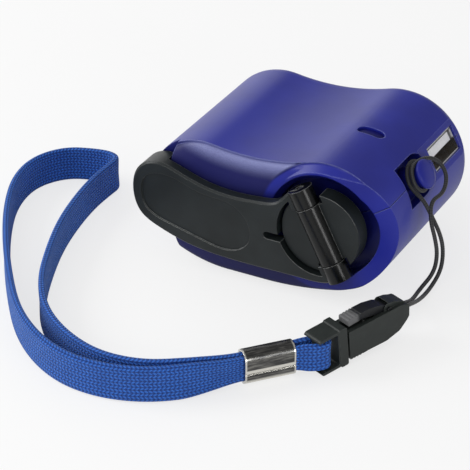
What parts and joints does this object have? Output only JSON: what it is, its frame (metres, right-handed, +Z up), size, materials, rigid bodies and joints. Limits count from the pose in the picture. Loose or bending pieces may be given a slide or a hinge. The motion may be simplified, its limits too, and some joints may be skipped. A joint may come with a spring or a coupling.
{
  "type": "hand crank phone charger",
  "caption": "Pocket hand-crank generator that charges a phone: folding crank, gear train, generator, tilted USB socket and a wrist lanyard with a quick-release buckle.",
  "frame": {"origin": "middle of the charger's box on the surface it stands on, without the lanyard", "axes": "+X towards the socket's end, -Y towards the crank, +Z up"},
  "size_m": [0.1036, 0.0989, 0.0316],
  "materials": {
    "body_blue": "glossy ultramarine plastic",
    "window_grey": "translucent grey plastic",
    "lamp": "clear tinted epoxy",
    "steel": "plain steel",
    "nickel": "bright nickel plate",
    "white_plastic": "plain white plastic",
    "contact_gold": "thin gold plate",
    "board_green": "solder mask over glass fibre",
    "black_plastic": "moulded black plastic",
    "crank_black": "satin black plastic",
    "can_sleeve": "shrunk plastic sleeve",
    "copper": "enamelled copper winding",
    "gear_white": "moulded acetal",
    "brass": "turned brass",
    "magnet": "ferrite",
    "core": "laminated iron core",
    "string_black": "braided cord",
    "strap_blue": "woven tape"
  },
  "bodies": {
    "casing": {"upper_shell": "body_blue", "lower_shell": "body_blue", "case_screws": "steel", "led_window": "window_grey", "status_led": "lamp", "usb_shell": "steel", "usb_tongue": "white_plastic", "usb_contacts": "contact_gold", "circuit_board": "board_green", "capacitor": "can_sleeve", "inductor": "copper", "regulator_chip": "black_plastic", "lanyard_post": "body_blue", "shaft_bush": "brass", "first_axle": "steel", "second_axle": "steel", "front_gear_plate": "black_plastic", "back_gear_plate": "black_plastic", "plate_pillars": "brass", "generator_can": "steel", "generator_end_cap": "black_plastic", "generator_magnets": "magnet", "string_loop": "string_black", "buckle_body": "black_plastic"},
    "crank": {"crank_hub": "crank_black", "crank_shaft": "steel", "drive_gear": "gear_white", "hinge_pin": "steel"},
    "arm": {"crank_arm": "crank_black", "knob_screw": "steel"},
    "knob": {"finger_knob": "crank_black"},
    "first_wheel": {"first_gear": "gear_white"},
    "second_wheel": {"second_gear": "gear_white"},
    "rotor": {"generator_rotor": "core", "generator_pinion": "brass"},
    "strap_half": {"buckle_clip": "black_plastic", "strap_tab": "strap_blue", "strap_crimp": "nickel", "wrist_strap": "strap_blue"},
    "upper_squeeze": {"upper_lever": "black_plastic"},
    "lower_squeeze": {"lower_lever": "black_plastic"}
  },
  "joints": [
    {"name": "crank_spin", "type": "hinge", "parent": "casing", "child": "crank", "pos_m": [0.015, -0.0175, 0.0166], "axis": [0, 1, 0], "continuous": true},
    {"name": "arm_fold", "type": "hinge", "parent": "crank", "child": "arm", "pos_m": [0.015, -0.0213, 0.0166], "axis": [-0.4586, 0, 0.8886], "range_deg": [0, 180]},
    {"name": "knob_spin", "type": "hinge", "parent": "arm", "child": "knob", "pos_m": [-0.0261, -0.019, 0.0164], "axis": [0, 1, 0], "continuous": true},
    {"name": "first_gear_spin", "type": "hinge", "parent": "casing", "child": "first_wheel", "pos_m": [0.00369, -0.008, 0.0145], "axis": [0, 1, 0], "continuous": true},
    {"name": "second_gear_spin", "type": "hinge", "parent": "casing", "child": "second_wheel", "pos_m": [-0.0064, -0.008, 0.0174], "axis": [0, 1, 0], "continuous": true},
    {"name": "rotor_spin", "type": "hinge", "parent": "casing", "child": "rotor", "pos_m": [-0.01526, -0.008, 0.01584], "axis": [0, 1, 0], "continuous": true},
    {"name": "buckle_release", "type": "slide", "parent": "casing", "child": "strap_half", "axis": [-0.4047, -0.909, -0.0993], "range_m": [0, 0.011]},
    {"name": "lever_squeeze", "type": "hinge", "parent": "casing", "child": "upper_squeeze", "pos_m": [0.03356, -0.02962, 0.00888], "axis": [0.9135, -0.4067, 0], "range_deg": [0, 4.5], "stiffness_Nm_per_rad": 0.02},
    {"name": "lower_lever_squeeze", "type": "hinge", "parent": "casing", "child": "lower_squeeze", "pos_m": [0.03377, -0.02915, 0.0037], "axis": [0.9135, -0.4067, 0], "range_deg": [-4.5, 0]}
  ],
  "couplings": [
    {"joint": "first_gear_spin", "follows": "crank_spin", "ratio": -3.6},
    {"joint": "second_gear_spin", "follows": "crank_spin", "ratio": 11.52},
    {"joint": "rotor_spin", "follows": "crank_spin", "ratio": -40.32},
    {"joint": "lower_lever_squeeze", "follows": "lever_squeeze", "ratio": -1}
  ]
}
